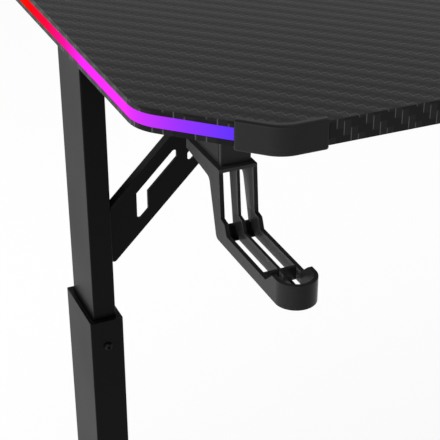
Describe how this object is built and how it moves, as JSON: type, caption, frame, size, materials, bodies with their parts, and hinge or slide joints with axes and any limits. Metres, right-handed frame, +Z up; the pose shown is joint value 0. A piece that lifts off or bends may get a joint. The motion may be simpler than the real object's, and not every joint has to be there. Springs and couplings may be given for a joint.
{
  "type": "gaming desk",
  "caption": "Gaming desk with a carbon-pattern top, cut front corners, lit side edges, corner bumpers, a headphone hook and telescopic steel legs.",
  "frame": {"origin": "centre of the footprint, on the floor", "axes": "+X to the right of a person sitting at the desk, +Y to the back, +Z up"},
  "size_m": [1.2, 0.6082, 0.7519],
  "materials": {
    "carbon_film_board": "embossed carbon-pattern film, satin",
    "light_diffuser": "frosted, lit from behind in a colour run",
    "light_tape": "white flexible light tape",
    "bumper_plastic": "fine-textured black plastic",
    "powder_coat": "black powder coat on steel",
    "black_plastic": "moulded black plastic",
    "hook_plastic": "moulded black plastic",
    "button_plastic": "smooth black plastic",
    "leveller_plastic": "black plastic pad on a threaded stud",
    "circuit_board": "green circuit board",
    "lead_sheath": "black cable sheath",
    "black_bolt": "black oxide steel",
    "zinc_steel": "zinc-plated steel"
  },
  "bodies": {
    "left_base": {"left_front_foot_cap": "black_plastic", "left_rear_foot_cap": "black_plastic", "left_sleeve": "powder_coat", "left_collar": "black_plastic", "left_base_plate": "powder_coat", "left_foot": "powder_coat", "left_foot_bolts": "black_bolt"},
    "top": {"desktop_panel": "carbon_film_board", "bumper_screws": "zinc_steel", "cross_beam": "powder_coat", "arm_end_caps": "black_plastic", "desktop_bolts": "black_bolt", "board_inserts": "zinc_steel", "beam_bolts": "black_bolt", "gusset_bolts": "black_bolt", "frame_nuts": "zinc_steel", "headphone_hook": "hook_plastic", "hook_screws": "black_bolt", "controller_case": "black_plastic", "controller_lid": "black_plastic", "controller_circuit": "circuit_board", "supply_socket": "black_plastic", "controller_screws": "zinc_steel", "left_led_lead": "lead_sheath", "right_led_lead": "lead_sheath", "lead_clips": "black_plastic", "left_led_diffuser": "light_diffuser", "left_led_tape": "light_tape", "left_corner_bumper": "bumper_plastic", "left_upright": "powder_coat", "left_guide_plug": "black_plastic", "left_beam_plate": "powder_coat", "left_gusset": "powder_coat", "left_front_arm": "powder_coat", "left_rear_arm": "powder_coat", "right_led_diffuser": "light_diffuser", "right_led_tape": "light_tape", "right_corner_bumper": "bumper_plastic", "right_upright": "powder_coat", "right_guide_plug": "black_plastic", "right_beam_plate": "powder_coat", "right_gusset": "powder_coat", "right_front_arm": "powder_coat", "right_rear_arm": "powder_coat"},
    "right_base": {"right_front_foot_cap": "black_plastic", "right_rear_foot_cap": "black_plastic", "right_sleeve": "powder_coat", "right_collar": "black_plastic", "right_base_plate": "powder_coat", "right_foot": "powder_coat", "right_foot_bolts": "black_bolt"},
    "led_button": {"led_button": "button_plastic"},
    "left_front_leveller": {"left_front_leveller": "leveller_plastic"},
    "left_rear_leveller": {"left_rear_leveller": "leveller_plastic"},
    "left_lock_screw": {"left_lock_screw": "black_bolt"},
    "right_front_leveller": {"right_front_leveller": "leveller_plastic"},
    "right_rear_leveller": {"right_rear_leveller": "leveller_plastic"},
    "right_lock_screw": {"right_lock_screw": "black_bolt"}
  },
  "joints": [
    {"name": "height_slide", "type": "slide", "parent": "left_base", "child": "top", "axis": [0, 0, 1], "range_m": [-0.045, 0.07]},
    {"name": "right_leg_slide", "type": "slide", "parent": "top", "child": "right_base", "axis": [0, 0, -1], "range_m": [-0.045, 0.07]},
    {"name": "led_button_push", "type": "slide", "parent": "top", "child": "led_button", "axis": [0, 1, 0], "range_m": [0, 0.0008], "stiffness_N_per_m": 1500},
    {"name": "left_front_leveller_screw", "type": "slide", "parent": "left_base", "child": "left_front_leveller", "axis": [0, 0, -1], "range_m": [0, 0.01]},
    {"name": "left_rear_leveller_screw", "type": "slide", "parent": "left_base", "child": "left_rear_leveller", "axis": [0, 0, -1], "range_m": [0, 0.01]},
    {"name": "left_lock_screw_turn_out", "type": "slide", "parent": "left_base", "child": "left_lock_screw", "axis": [0, -1, 0], "range_m": [0, 0.004]},
    {"name": "right_front_leveller_screw", "type": "slide", "parent": "right_base", "child": "right_front_leveller", "axis": [0, 0, -1], "range_m": [0, 0.01]},
    {"name": "right_rear_leveller_screw", "type": "slide", "parent": "right_base", "child": "right_rear_leveller", "axis": [0, 0, -1], "range_m": [0, 0.01]},
    {"name": "right_lock_screw_turn_out", "type": "slide", "parent": "right_base", "child": "right_lock_screw", "axis": [0, -1, 0], "range_m": [0, 0.004]}
  ],
  "couplings": [
    {"joint": "right_leg_slide", "follows": "height_slide", "ratio": 1}
  ]
}
